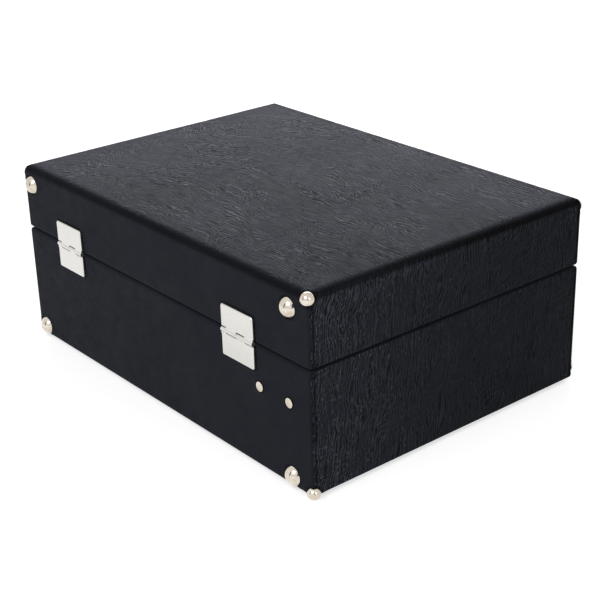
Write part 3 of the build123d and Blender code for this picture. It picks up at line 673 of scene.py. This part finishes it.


# Fields of the leather at each point: flow of the wrinkles, their amount, painted sheen, painted
# glints, painted shade and height
def hide_fields(points, normals, body, outer_level, edge, rim_level):
    p = points / MM
    has_top = outer_level > 0
    steepness = np.abs(normals[:, 2])
    up = smooth(steepness, 0.72, 0.97) * has_top
    end = smooth(np.abs(normals[:, 0]), 0.45, 0.9) * (1 - up)
    side = np.clip(1 - up - end, 0, 1)
    drift = noise(p / 90.0, 5)
    patch = smooth(noise(p / 48.0, 6) + 0.2 * drift, -0.35, 0.4)

    # Flow: along X on the top, turning towards the right end; upright on the ends
    swing = 9 * noise(p * (0.008, 0.012, 0.0), 7) + 4 * noise(p * (0.03, 0.03, 0.0), 8)
    bend = np.maximum(p[:, 0] + 20, 0) ** 2 / 430
    across = p[:, 1] - bend + swing
    lean = 4 * noise(p * (0.0, 0.02, 0.03), 9)
    shake = 1.1 * noise(p / 9.0, 10)
    layer = np.zeros(len(p))
    flow_top = np.column_stack((p[:, 0] + 0.7 * p[:, 1], across + shake, layer))
    flow_end = np.column_stack((p[:, 2], p[:, 1] + lean + 0.14 * p[:, 2] + shake, layer + 50))
    flow_side = np.column_stack((p[:, 0], p[:, 2] + shake, layer + 90))
    is_end = (end > np.maximum(up, side))[:, None]
    is_top = (up >= np.maximum(end, side))[:, None]
    flow = np.where(is_top, flow_top, np.where(is_end, flow_end, flow_side)) * MM

    # Painted sheen and shade: the top paler towards the back and darker along its edges, and the ends
    # deep in painted shade
    from_edge = np.minimum(half_x - np.abs(points[:, 0]), half_y - np.abs(points[:, 1]))
    near_edge = bell(from_edge, 9.0 * MM)
    from_back = half_y - points[:, 1]
    from_outer = np.abs(points[:, 2] - outer_level)
    far = smooth(-0.75 * points[:, 1] / half_y + 0.65 * points[:, 0] / half_x, -1.4, 1.4)
    crease = up * (0.5 + 0.5 * patch) * (1 - 0.6 * near_edge)
    crease += end * (0.75 + 0.35 * patch) + 0.10 * side
    # Painted sheen on the top, with painted shade near its edges
    pale = up * (0.18 + 0.58 * far + 0.22 * drift + 0.12 * patch) * (1 - 0.85 * near_edge)
    # Painted glints: on the ends, strongest near the back and near the lid's rounding; on the base a
    # dotted line along the rim
    rounding = np.exp(-(from_outer / (13 * MM))) * (body == "lid")
    glint = end * (0.16 + 0.55 * np.exp(-(from_back / (60 * MM))) + 0.35 * rounding)
    if body == "base":
        dots = smooth(noise(p * (0.9, 0.9, 0.4), 61), 0.05, 0.5)
        from_rim = np.abs(points[:, 2] - rim_level)
        glint += end * 1.6 * dots * bell(from_rim - 1.2 * MM, 0.9 * MM)

    # Painted shade and dents: round the metal and in the seams; painted shade also on the turned edges
    # of the top and on the ends away from the back
    distance = metal_distance(points, body, metal_reach)
    # Painted contact shade in a ring round the metal; the same ring also dents the leather
    contact = bell(distance, contact_width)
    puff = bell(distance - puff_place, puff_width)
    seam = seam_share(points)
    # Painted shade along the turned edges of the top
    turned = smooth(steepness, 0.1, 0.45) * (1 - smooth(steepness, 0.75, 0.995))
    turned *= (from_outer < 1.2 * edge) & has_top
    # Painted shade: the ends darker away from the back
    deep = 0.42 * end * smooth(from_back, 30 * MM, 230 * MM)
    dent = puff_height * puff - contact_depth * contact - seam_depth * seam
    return {
        "flow": flow,
        "crease": crease,
        "pale": np.clip(pale, 0, 1),
        "glint": np.clip(glint, 0, 1),
        "painted_shade": np.clip(0.95 * contact + 0.85 * seam + 0.7 * turned + deep, 0, 1),
        "height": relief(p, up, end, side, patch, across, lean) + dent * (distance > 0.02 * MM),
    }


def point_attribute(mesh, name, values):
    kind, field = ("FLOAT_VECTOR", "vector") if values.ndim == 2 else ("FLOAT", "value")
    layer = mesh.attributes.new(name, kind, "POINT")
    layer.data.foreach_set(field, values.astype(np.float32).ravel())


def leather_half(name, node, body, outer_level, edge, rim_level, inner_level):
    verts, faces = skin_mesh(outer_level, edge, rim_level, inner_level)
    verts, quads, triangles = weld(verts, faces)
    mesh = fast_mesh(name, verts, quads, triangles)
    normals = vertex_normals(mesh)
    fields = hide_fields(verts, normals, body, outer_level, edge, rim_level)
    height = fields.pop("height")
    inside = (np.abs(verts[:, 0]) < half_x - wall_in / 2) & (np.abs(verts[:, 1]) < half_y - wall_in / 2)
    height[inside & (np.abs(verts[:, 2] - outer_level) > 2 * edge)] = 0
    if body == "base":
        height[np.abs(normals[:, 2]) > 0.9] = 0
    moved = verts + normals * height[:, None]
    set_coordinates(mesh, moved)
    for field, values in fields.items():
        point_attribute(mesh, field, values)
    mesh.materials.append(leather)
    obj = bpy.data.objects.new(name, mesh)
    bpy.context.scene.collection.objects.link(obj)
    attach(obj, body)
    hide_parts(node)
    return obj


lid_lining_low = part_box("lid_lining")[0].z
leather_half("lid_leather", "lid_cover", "lid", top_level, top_edge, lid_rim, lid_lining_low)
leather_half("base_leather", "base_cover", "base", 0.0, bottom_edge, base_rim, None)

slots = {entry["node"]: entry["material_slot"] for entry in frame["record"]["subparts"]}
metals = {"nickel": nickel, "hinge_nickel": hinge_nickel, "steel": steel}


def new_piece(name, mesh, body, material, slot, *replaced):
    mesh.materials.clear()
    mesh.materials.append(material)
    obj = bpy.data.objects.new(name, mesh)
    bpy.context.scene.collection.objects.link(obj)
    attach(obj, body)
    if replaced:
        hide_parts(*replaced)
    return obj


# Pressed metal: the solid's form with every sharp edge rolled over
def pressed(node, width, segments=3):
    work = bmesh.new()
    work.from_mesh(nodes[node].data)
    bmesh.ops.remove_doubles(work, verts=work.verts, dist=0.001 * MM)
    bmesh.ops.dissolve_limit(work, angle_limit=math.radians(1.0), verts=work.verts, edges=work.edges)
    pairs = [edge for edge in work.edges if len(edge.link_faces) == 2]
    sharp = [edge for edge in pairs if edge.calc_face_angle(0) > sharp_angle]
    bmesh.ops.bevel(
        work, geom=sharp, offset=width, offset_type="OFFSET", segments=segments,
        profile=0.5, affect="EDGES", clamp_overlap=True,
    )
    bmesh.ops.triangulate(work, faces=[f for f in work.faces if len(f.verts) > 4])
    mesh = bpy.data.meshes.new(node + "_pressed")
    work.to_mesh(mesh)
    work.free()
    mesh.shade_smooth()
    mesh.set_sharp_from_angle(angle=math.radians(50))
    body = body_of(nodes[node])[0]
    return new_piece(node + "_pressed", mesh, body, metals[slots[node]], slots[node], node)


for side in ("left", "right"):
    for part, roll in (
        ("hinge_base_leaf", 0.3), ("hinge_lid_leaf", 0.3), ("lock_case", 0.4), ("keeper", 0.3),
        ("latch_slider", 0.3), ("handle_bracket", 0.3), ("handle_ferrule", 0.25), ("stay_arm", 0.25),
    ):
        pressed(f"{side}_{part}", roll * MM)


# Plush on a board: a tray of thin cloth with turned edges, its mouth at rim_level
def lining_tray(name, node, body, thickness, fold, seed):
    low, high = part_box(node)
    opens_up = body == "base"
    back_level, rim_level = (low.z, high.z) if opens_up else (high.z, low.z)
    way = 1 if opens_up else -1
    face_level = back_level + way * thickness
    inner = wall_in + thickness
    path = []
    for a in np.linspace(0, 90, 6):
        c, s = math.cos(math.radians(a)), math.sin(math.radians(a))
        path.append((inner + fold - fold * s, face_level + way * fold * (1 - c)))
    rim_start = rim_level - way * thickness / 2
    wall_start = face_level + way * fold
    for t in np.linspace(0, 1, 24)[1:]:
        path.append((inner, wall_start + t * (rim_start - wall_start)))
    for a in np.linspace(0, 180, 7)[1:]:
        c, s = math.cos(math.radians(a)), math.sin(math.radians(a))
        path.append((wall_in + thickness / 2 * (1 + c), rim_start + way * thickness / 2 * s))
    path.append((wall_in, back_level))
    verts, faces = ring_mesh(path, inner + fold, face_level, plush_step, not opens_up)
    bottom, more = ring_mesh([path[-1]], wall_in, back_level, plush_step, opens_up)
    faces = np.vstack((faces, more + len(verts)))
    verts, quads, triangles = weld(np.vstack((verts, bottom)), faces)
    mesh = fast_mesh(name, verts, quads, triangles)
    normals = vertex_normals(mesh)
    p = verts / MM
    ripple = 0.28 * noise(p / 34.0, seed) + 0.12 * noise(p / 11.0, seed + 1)
    shown = np.abs(verts[:, 2] - back_level) > thickness / 2
    shown &= np.abs(verts[:, 0]) < half_x - wall_in - thickness / 2
    shown &= np.abs(verts[:, 1]) < half_y - wall_in - thickness / 2
    set_coordinates(mesh, verts + normals * ((ripple - 0.25) * MM * shown)[:, None])
    return new_piece(name, mesh, body, wine_plush, "plush", node)


lining_tray("base_plush", "base_lining", "base", base_plush_thickness, plush_fold, 70)
lining_tray("lid_plush", "lid_lining", "lid", lid_plush_thickness, plush_fold, 75)


# Voxel copy of a CAD solid, as raw stuffing to be shaped
def remeshed(node, voxel):
    work = bpy.data.objects.new("stuffing", nodes[node].data.copy())
    bpy.context.scene.collection.objects.link(work)
    modifier = work.modifiers.new("remesh", "REMESH")
    modifier.mode = "VOXEL"
    modifier.voxel_size = voxel
    depsgraph = bpy.context.evaluated_depsgraph_get()
    mesh = bpy.data.meshes.new_from_object(work.evaluated_get(depsgraph))
    bpy.data.objects.remove(work)
    return mesh


# Soft edges: each point drifts to the middle of its neighbours
def relaxed(mesh, rounds):
    verts = coordinates(mesh)
    ends = np.empty(len(mesh.edges) * 2, np.int32)
    mesh.edges.foreach_get("vertices", ends)
    a, b = ends[0::2], ends[1::2]
    count = len(verts)
    degree = np.bincount(a, minlength=count) + np.bincount(b, minlength=count)
    for _ in range(rounds):
        middle = np.column_stack(
            [
                np.bincount(a, weights=verts[b, k], minlength=count)
                + np.bincount(b, weights=verts[a, k], minlength=count)
                for k in range(3)
            ]
        ) / degree[:, None]
        verts += 0.5 * (middle - verts)
    return verts


# Cloth pressure swells the piece; pinned points stay, and no point moves past the cap
def inflated(mesh, pinned, cap):
    work = bpy.data.objects.new("stuffing", mesh)
    bpy.context.scene.collection.objects.link(work)
    group = work.vertex_groups.new(name="pinned")
    group.add([int(i) for i in np.flatnonzero(pinned)], 1.0, "REPLACE")
    cloth = work.modifiers.new("cloth", "CLOTH")
    settings = cloth.settings
    settings.use_pressure = True
    settings.uniform_pressure_force = cloth_pressure
    settings.effector_weights.gravity = 0.0
    settings.vertex_group_mass = "pinned"
    settings.quality = 5
    settings.tension_stiffness = 12
    settings.compression_stiffness = 12
    cloth.point_cache.frame_start = 1
    cloth.point_cache.frame_end = cloth_frames
    before = coordinates(mesh)
    for step in range(1, cloth_frames + 1):
        bpy.context.scene.frame_set(step)
    depsgraph = bpy.context.evaluated_depsgraph_get()
    swollen = bpy.data.meshes.new_from_object(work.evaluated_get(depsgraph))
    after = coordinates(swollen)
    bpy.context.scene.frame_set(1)
    bpy.data.objects.remove(work)
    bpy.data.meshes.remove(swollen)
    move = after - before
    length = np.linalg.norm(move, axis=1)
    return before + move * np.minimum(1, cap / np.maximum(length, 1e-9))[:, None]


def subdivided(mesh):
    work = bpy.data.objects.new("stuffing", mesh)
    bpy.context.scene.collection.objects.link(work)
    modifier = work.modifiers.new("subdivision", "SUBSURF")
    modifier.levels = 1
    depsgraph = bpy.context.evaluated_depsgraph_get()
    finer = bpy.data.meshes.new_from_object(work.evaluated_get(depsgraph))
    bpy.data.objects.remove(work)
    return finer


# Distance in plan from each point to the nearest tuft
def tuft_reach(verts, tufts):
    return np.min([np.hypot(verts[:, 0] - x, verts[:, 1] - y) for x, y in tufts], axis=0)


# Tufted pad under the lid: swollen between sewn tufts, with a channel inside its border
def pad_piece():
    low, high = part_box("lid_pad")
    depth = high.z - low.z
    count_x, count_y = tuft_grid
    tufts = [
        (
            (low.x + high.x) / 2 + (i - (count_x - 1) / 2) * (high.x - low.x) / (count_x + tuft_margin),
            (low.y + high.y) / 2 + (j - (count_y - 1) / 2) * (high.y - low.y) / (count_y + tuft_margin),
        )
        for i in range(count_x)
        for j in range(count_y)
    ]
    mesh = remeshed("lid_pad", pad_voxel)
    verts = relaxed(mesh, 4)
    verts[:, 2] = high.z - (high.z - verts[:, 2]) * (1 - pad_shrink / depth)
    set_coordinates(mesh, verts)
    below = verts[:, 2] < (low.z + high.z) / 2
    pinned = (verts[:, 2] > high.z - tuft_pin) | (below & (tuft_reach(verts, tufts) < tuft_pin))
    set_coordinates(mesh, inflated(mesh, pinned, pad_cap))
    mesh = subdivided(mesh)
    verts = coordinates(mesh)
    reach = tuft_reach(verts, tufts)
    down = smooth((high.z - verts[:, 2]) / depth, 0.35, 0.75)
    border = np.minimum(high.x - np.abs(verts[:, 0]), high.y - np.abs(verts[:, 1]))
    lift = tuft_depth * bell(reach, tuft_width)
    lift += channel_depth * bell(border - channel_inset, channel_width)
    p = verts / MM
    folds = crease_field(p, (0.05, 0.05, 0.0), 81, 0.16) * bell(reach, 26 * MM)
    verts[:, 2] += (lift + 0.5 * MM * folds + 0.35 * MM * noise(p / 21.0, 82)) * down
    set_coordinates(mesh, verts)
    mesh.shade_smooth()
    pad = new_piece("lid_tufted_pad", mesh, "lid", wine_plush, "plush", "lid_pad")
    buttons = []
    for x, y in tufts:
        close = np.hypot(verts[:, 0] - x, verts[:, 1] - y) + (down < 0.5)
        buttons.append((x, y, verts[np.argmin(close), 2]))
    return buttons


# Cloth-covered buttons sewn into the tufts
def tuft_buttons(places):
    profile = [(0.0, -1.7), (2.2, -1.5), (3.9, -0.9), (4.8, 0.1), (4.9, 1.0), (4.2, 1.9), (0.0, 2.4)]
    verts, faces = [], []
    for x, y, z in places:
        start = len(verts)
        for radius, level in profile:
            for step in range(button_sides):
                angle = 2 * math.pi * step / button_sides
                across, away = radius * MM * math.cos(angle), radius * MM * math.sin(angle)
                verts.append((x + across, y + away, z + level * MM))
        for row in range(len(profile) - 1):
            for step in range(button_sides):
                a = start + row * button_sides + step
                b = start + row * button_sides + (step + 1) % button_sides
                faces.append((a, a + button_sides, b + button_sides, b))
    verts, quads, triangles = weld(np.array(verts), np.array(faces))
    mesh = fast_mesh("tuft_buttons", verts, quads, triangles)
    new_piece("tuft_buttons", mesh, "lid", wine_plush, "plush")


# Bed and island: foam under plush, with turned edges and a slight crown
def bed_piece(name, node, crown, seed):
    low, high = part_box(node)
    mesh = remeshed(node, bed_voxel)
    verts = relaxed(mesh, 7)
    set_coordinates(mesh, verts)
    normals = vertex_normals(mesh)
    p = verts / MM
    top = smooth(verts[:, 2], high.z - 6 * MM, high.z - 1 * MM)
    dents = 0.5 * noise(p / 27.0, seed) + 0.2 * noise(p / 9.0, seed + 1) - 0.35
    above_foot = smooth(verts[:, 2], low.z + 1 * MM, low.z + 6 * MM)
    verts += normals * (dents * MM)[:, None] * above_foot[:, None]
    verts[:, 2] += top * crown * noise(p / 60.0, seed + 2)
    verts[:, 2] = np.minimum(verts[:, 2], high.z)
    set_coordinates(mesh, verts)
    mesh.shade_smooth()
    new_piece(name, mesh, "base", wine_plush, "plush", node)


tuft_buttons(pad_piece())
bed_piece("plush_bed", "horn_bed", 0.8 * MM, 90)
bed_piece("plush_island", "bed_island", 1.0 * MM, 94)
bed_piece("plush_divider", "compartment_divider", 0.3 * MM, 97)


# Closed tube through rings of points, capped at both ends
def lofted(name, sections, body, material, slot, node):
    count = len(sections[0])
    index = np.arange(count)
    following = (index + 1) % count
    quads = []
    for row in range(len(sections) - 1):
        a, b = row * count + index, row * count + following
        quads.append(np.column_stack((a, b, b + count, a + count)))
    last = (len(sections) - 1) * count
    faces = [tuple(map(int, quad)) for quad in np.vstack(quads)]
    faces += [tuple(range(count))[::-1], tuple(range(last, last + count))]
    mesh = bpy.data.meshes.new(name)
    mesh.from_pydata([tuple(v) for v in np.vstack(sections)], [], faces)
    mesh.validate()
    mesh.shade_smooth()
    return new_piece(name, mesh, body, material, slot, node)


# Short rounded stitches that follow a list of (place, along, out)
def stitch_row(name, body, slot, thread, stitches, length, radius):
    verts, faces = [], []
    rings = [(-0.5, 0.0), (-0.42, 0.7), (-0.2, 1.0), (0.2, 1.0), (0.42, 0.7), (0.5, 0.0)]
    sides = 6
    for place, along, out in stitches:
        across = np.cross(along, out)
        start = len(verts)
        for t, r in rings:
            for k in range(sides):
                angle = 2 * math.pi * k / sides
                ring = math.cos(angle) * across + math.sin(angle) * out
                verts.append(place + along * (t * length) + ring * (r * radius))
        for row in range(len(rings) - 1):
            for k in range(sides):
                a = start + row * sides + k
                b = start + row * sides + (k + 1) % sides
                faces.append((a, b, b + sides, a + sides))
    verts, quads, triangles = weld(np.array(verts), np.array(faces))
    mesh = fast_mesh(name, verts, quads, triangles)
    return new_piece(name, mesh, body, thread, slot)


# Handle: a strap that is folded round a core and sewn along its middle stretch
def handle_strap():
    low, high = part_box("handle_grip")
    pivot_y = (low.y + high.y) / 2
    reach = high.x - strap_half_thick
    run_level = low.z + roll_radius
    line = [(-reach, z, 0.0, -1.0) for z in np.linspace(high.z, run_level + strap_bend, 12)]
    for a in np.radians(np.linspace(0, 90, 18))[1:]:
        c, s = math.cos(a), math.sin(a)
        line.append((-reach + strap_bend * (1 - c), run_level + strap_bend * (1 - s), s, -c))
    line += [(x, run_level, 1.0, 0.0) for x in np.linspace(-reach + strap_bend, 0, 30)[1:]]
    line += [(-x, z, dx, -dz) for x, z, dx, dz in line[-2::-1]]
    across = np.array((0.0, 1.0, 0.0))
    angles = np.linspace(0, 2 * np.pi, 36, endpoint=False)
    c, s = np.cos(angles), np.sin(angles)
    sections, roll_seam, edge_rows = [], [], ([], [])
    travel, last = 0.0, None
    for x, z, dx, dz in line:
        along = np.array((dx, 0.0, dz))
        outward = np.array((dz, 0.0, -dx))
        centre = np.array((x, pivot_y, z))
        rolled = 0.0
        if abs(z - run_level) < 0.1 * MM:
            rolled = float(smooth(np.array(roll_half - abs(x)), 0.0, roll_taper))
        thick = strap_half_thick + (roll_radius - strap_half_thick) * rolled
        wide = strap_half_wide + (roll_radius - strap_half_wide) * rolled
        power = 2 / (5.0 - 3.0 * rolled)
        wrinkle = 1 - 0.03 * abs(math.sin(x / (2.1 * MM))) * rolled * (1 - rolled) * 4
        size = wrinkle * (1 - 0.07 * rolled * bell(angles - np.pi, 0.16))
        ring_out = thick * size * np.sign(c) * np.abs(c) ** power
        ring_across = wide * size * np.sign(s) * np.abs(s) ** power
        sections.append(centre + outward * ring_out[:, None] + across * ring_across[:, None])
        if last is not None:
            travel += float(np.linalg.norm(centre - last))
        last = centre
        if rolled > 0.95:
            roll_seam.append((centre - outward * thick * 0.96, along, -outward))
        elif rolled < 0.02 and travel > 11 * MM:
            face = centre + outward * strap_half_thick * 0.98
            for row, sign in zip(edge_rows, (-1, 1)):
                row.append((face + across * sign * strap_half_wide * 0.74, along, outward))
    lofted("strap_grip", sections, "handle", grip_leather, "grip_leather", "handle_grip")
    stitches = roll_seam + edge_rows[0] + edge_rows[1]
    stitch_row("grip_stitches", "handle", "grip_leather", dark_thread, stitches, *grip_stitch)


handle_strap()


# Mouthpiece loop: the strap's section runs along tab, bow and tab, with stitches beside its edges
def loop_strap():
    low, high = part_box("mouthpiece_loop")
    middle_x, middle_z = (low.x + high.x) / 2, (low.z + high.z) / 2
    reach, half_tall = (high.x - low.x) / 2, (high.z - low.z) / 2
    wall_y = high.y
    tab_y = wall_y - loop_thick / 2
    bow = loop_bow + loop_thick / 2
    line = [(x, tab_y, 1.0, 0.0) for x in np.linspace(-reach, -bow - loop_ease, 8)]
    for a in np.radians(np.linspace(4, 176, 30)):
        c, s = math.cos(a), math.sin(a)
        line.append((-bow * c, wall_y - bow * s, s, -c))
    line += [(x, tab_y, 1.0, 0.0) for x in np.linspace(bow + loop_ease, reach, 8)]
    upward = np.array((0.0, 0.0, 1.0))
    angles = np.linspace(0, 2 * np.pi, 28, endpoint=False)
    c, s = np.cos(angles), np.sin(angles)
    ring_out = loop_thick / 2 * np.sign(c) * np.abs(c) ** 0.5
    ring_up = half_tall * np.sign(s) * np.abs(s) ** 0.22
    sections, stitches = [], []
    for x, y, dx, dy in line:
        along = np.array((dx, dy, 0.0))
        out = np.array((dy, -dx, 0.0))
        centre = np.array((middle_x + x, y, middle_z))
        sections.append(centre + out * ring_out[:, None] + upward * ring_up[:, None])
        for sign in (-1, 1):
            place = centre + out * loop_thick * 0.47 + upward * sign * (half_tall - loop_seam)
            stitches.append((place, along, out))
    lofted("loop_strap", sections, "base", loop_leather, "loop_leather", "mouthpiece_loop")
    stitch_row("loop_stitches", "base", "loop_leather", tan_thread, stitches, *loop_stitch)


loop_strap()

# Materials of the CAD pieces that keep their own shape
kept = {
    "nickel": nickel,
    "hinge_nickel": hinge_nickel,
    "steel": steel,
    "plush": wine_plush,
    "plywood": wood,
    "lip_wood": lip_paint,
    "grip_leather": grip_leather,
    "loop_leather": loop_leather,
    "case_leather": leather,
}
for name, obj in nodes.items():
    obj.data.materials.clear()
    obj.data.materials.append(kept[slots[name]])

# Camera of the photograph
azimuth = 4.034286747
elevation = 0.41899797
roll = -0.02946383
focal_pixels = 1378.54
aim_right = 7.513 * MM
aim_up = -28.178 * MM
distance = 1212.02 * MM
back = Vector(
    (
        math.sin(azimuth) * math.cos(elevation),
        -math.cos(azimuth) * math.cos(elevation),
        math.sin(elevation),
    )
)
forward = -back
level_right = forward.cross(Vector((0, 0, 1))).normalized()
level_up = level_right.cross(forward)
right = math.cos(roll) * level_right + math.sin(roll) * level_up
up = -math.sin(roll) * level_right + math.cos(roll) * level_up
place = Vector((0, 0, top_level / 2)) + aim_right * right + aim_up * up - distance * forward
camera_data = bpy.data.cameras.new("camera")
camera_data.sensor_width = 36
camera_data.lens = focal_pixels * 36 / 600
camera = bpy.data.objects.new("camera", camera_data)
camera.matrix_world = Matrix(
    (
        (right.x, up.x, back.x, place.x),
        (right.y, up.y, back.y, place.y),
        (right.z, up.z, back.z, place.z),
        (0, 0, 0, 1),
    )
)
bpy.context.scene.collection.objects.link(camera)
bpy.context.scene.camera = camera


# 1 for rays from the camera and for those sent on by metal and glass, 0 for the rest
def seen_rays(tree):
    rays = tree.nodes.new("ShaderNodeLightPath").outputs
    seen = math_node(tree, "ADD", rays["Is Camera Ray"], rays["Is Transmission Ray"], True)
    return math_node(tree, "ADD", seen, rays["Is Glossy Ray"], True)


# Floor and world: white to the camera and in reflections, pale to everything else
def stage():
    floor_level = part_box("base_corner_studs")[0].z
    corners = [(x * floor_reach, y * floor_reach, floor_level) for x, y in square]
    mesh = bpy.data.meshes.new("floor")
    mesh.from_pydata(corners, [], [(0, 1, 2, 3)])
    floor = bpy.data.objects.new("floor", mesh)
    bpy.context.scene.collection.objects.link(floor)
    material = bpy.data.materials.new("floor")
    material.use_nodes = True
    tree = material.node_tree
    tree.nodes.clear()
    diffuse = add_node(tree, "ShaderNodeBsdfDiffuse", Color=(floor_tone, floor_tone, floor_tone, 1))
    glow = add_node(tree, "ShaderNodeEmission", Color=(1, 1, 1, 1))
    tree.links.new(math_node(tree, "MULTIPLY", seen_rays(tree), floor_glow), glow.inputs["Strength"])
    both = tree.nodes.new("ShaderNodeAddShader")
    tree.links.new(diffuse.outputs[0], both.inputs[0])
    tree.links.new(glow.outputs[0], both.inputs[1])
    output = tree.nodes.new("ShaderNodeOutputMaterial")
    tree.links.new(both.outputs[0], output.inputs["Surface"])
    mesh.materials.append(material)

    world = bpy.data.worlds.new("world")
    bpy.context.scene.world = world
    world.use_nodes = True
    tree = world.node_tree
    tree.nodes.clear()
    extra = math_node(tree, "MULTIPLY", seen_rays(tree), 1 - sky_level)
    strength = math_node(tree, "ADD", extra, sky_level)
    sky = add_node(tree, "ShaderNodeBackground", Color=(1, 1, 1, 1))
    tree.links.new(strength, sky.inputs["Strength"])
    output = tree.nodes.new("ShaderNodeOutputWorld")
    tree.links.new(sky.outputs[0], output.inputs["Surface"])


# Dark card that only shiny surfaces see, as round a photographer's table
def dark_card(name, place, aim, width, height):
    corners = [(x * width / 2, y * height / 2, 0) for x, y in square]
    mesh = bpy.data.meshes.new(name)
    mesh.from_pydata(corners, [], [(0, 1, 2, 3)])
    card = bpy.data.objects.new(name, mesh)
    direction = Vector(aim) - Vector(place)
    card.location = place
    card.rotation_euler = direction.to_track_quat("-Z", "Y").to_euler()
    bpy.context.scene.collection.objects.link(card)
    for ray in ("camera", "diffuse", "transmission", "volume_scatter", "shadow"):
        setattr(card, f"visible_{ray}", False)
    material = bpy.data.materials.new(name)
    material.use_nodes = True
    shader = material.node_tree.nodes["Principled BSDF"]
    shader.inputs["Base Color"].default_value = (0.02, 0.02, 0.022, 1)
    mesh.materials.append(material)


def area_light(name, place, aim, width, height, power, colour=(1, 1, 1)):
    light = bpy.data.lights.new(name, "AREA")
    light.shape = "RECTANGLE"
    light.size = width
    light.size_y = height
    light.energy = power
    light.color = colour
    obj = bpy.data.objects.new(name, light)
    obj.location = place
    direction = Vector(aim) - Vector(place)
    obj.rotation_euler = direction.to_track_quat("-Z", "Y").to_euler()
    bpy.context.scene.collection.objects.link(obj)


stage()
dark_card("camera_card", place + 0.25 * back + 0.30 * right, (0, 0, 0.1), 0.28, 0.9)
dark_card("back_card", (0.3, 1.6, 0.55), (0, 0, 0.1), 0.3, 1.1)
area_light("back_softbox", (1.3, -1.1, 0.95), (0, 0, 0.1), 1.6, 0.7, 14, (0.93, 0.95, 1.0))
area_light("key_softbox", (-0.5, 1.5, 1.5), (0, 0, 0.08), 1.0, 1.0, 13)
area_light("end_softbox", (-1.7, 0.3, 0.9), (0, 0, 0.08), 0.8, 0.8, 3.5, (0.9, 0.95, 1.0))

bpy.context.scene.view_settings.view_transform = "Standard"
